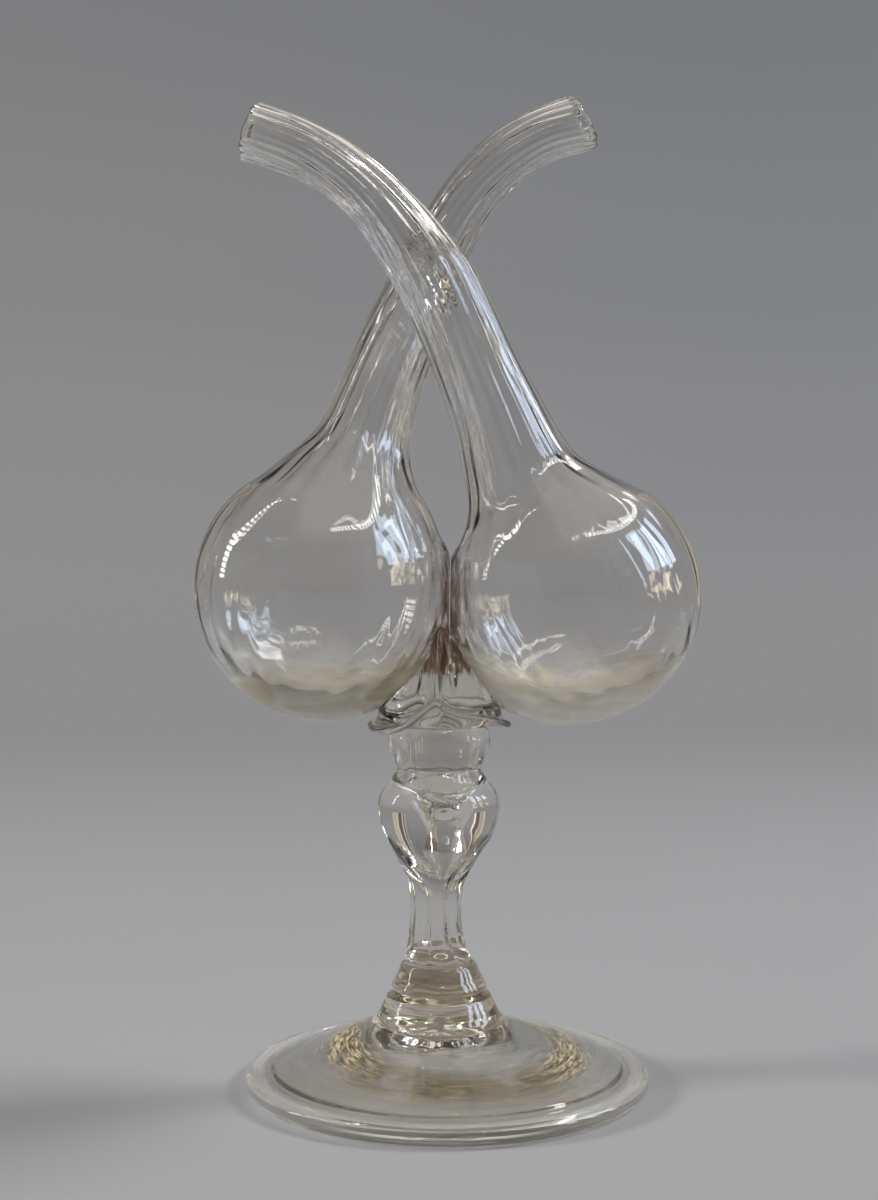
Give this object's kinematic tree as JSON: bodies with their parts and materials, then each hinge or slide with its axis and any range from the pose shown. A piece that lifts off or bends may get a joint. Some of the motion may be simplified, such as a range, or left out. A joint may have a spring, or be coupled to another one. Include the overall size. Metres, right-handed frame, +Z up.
{
  "type": "double cruet",
  "caption": "Blown-glass double cruet for oil and vinegar: paired flasks with crossed necks on a ribbed stem and a wide domed foot.",
  "frame": {"origin": "on the table, under the middle of the foot, which is the middle of the base of the bounding box", "axes": "+Z up, +X to the right seen along +Y; the right flask's neck crosses in front, towards -Y"},
  "size_m": [0.1464, 0.1158, 0.288],
  "materials": {
    "flask_glass": "clear free-blown soda glass with a faint smoky tint, optic ribs and fire-polished lips",
    "weld_glass": "clear glass weld with brown dirt in its edge",
    "collar_glass": "clear tooled glass with rolled edges and faint brown residue",
    "stem_glass": "clear mould-ribbed glass with seeds and tool marks",
    "foot_glass": "clear glass with fine turning marks, a folded rim and a rough pontil mark"
  },
  "bodies": {
    "root": {"flask_left": "flask_glass", "flask_right": "flask_glass", "neck_weld": "weld_glass", "pinched_collar": "collar_glass", "knop": "stem_glass", "baluster_stem": "stem_glass", "stem_cone": "stem_glass", "foot": "foot_glass"}
  },
  "joints": []
}
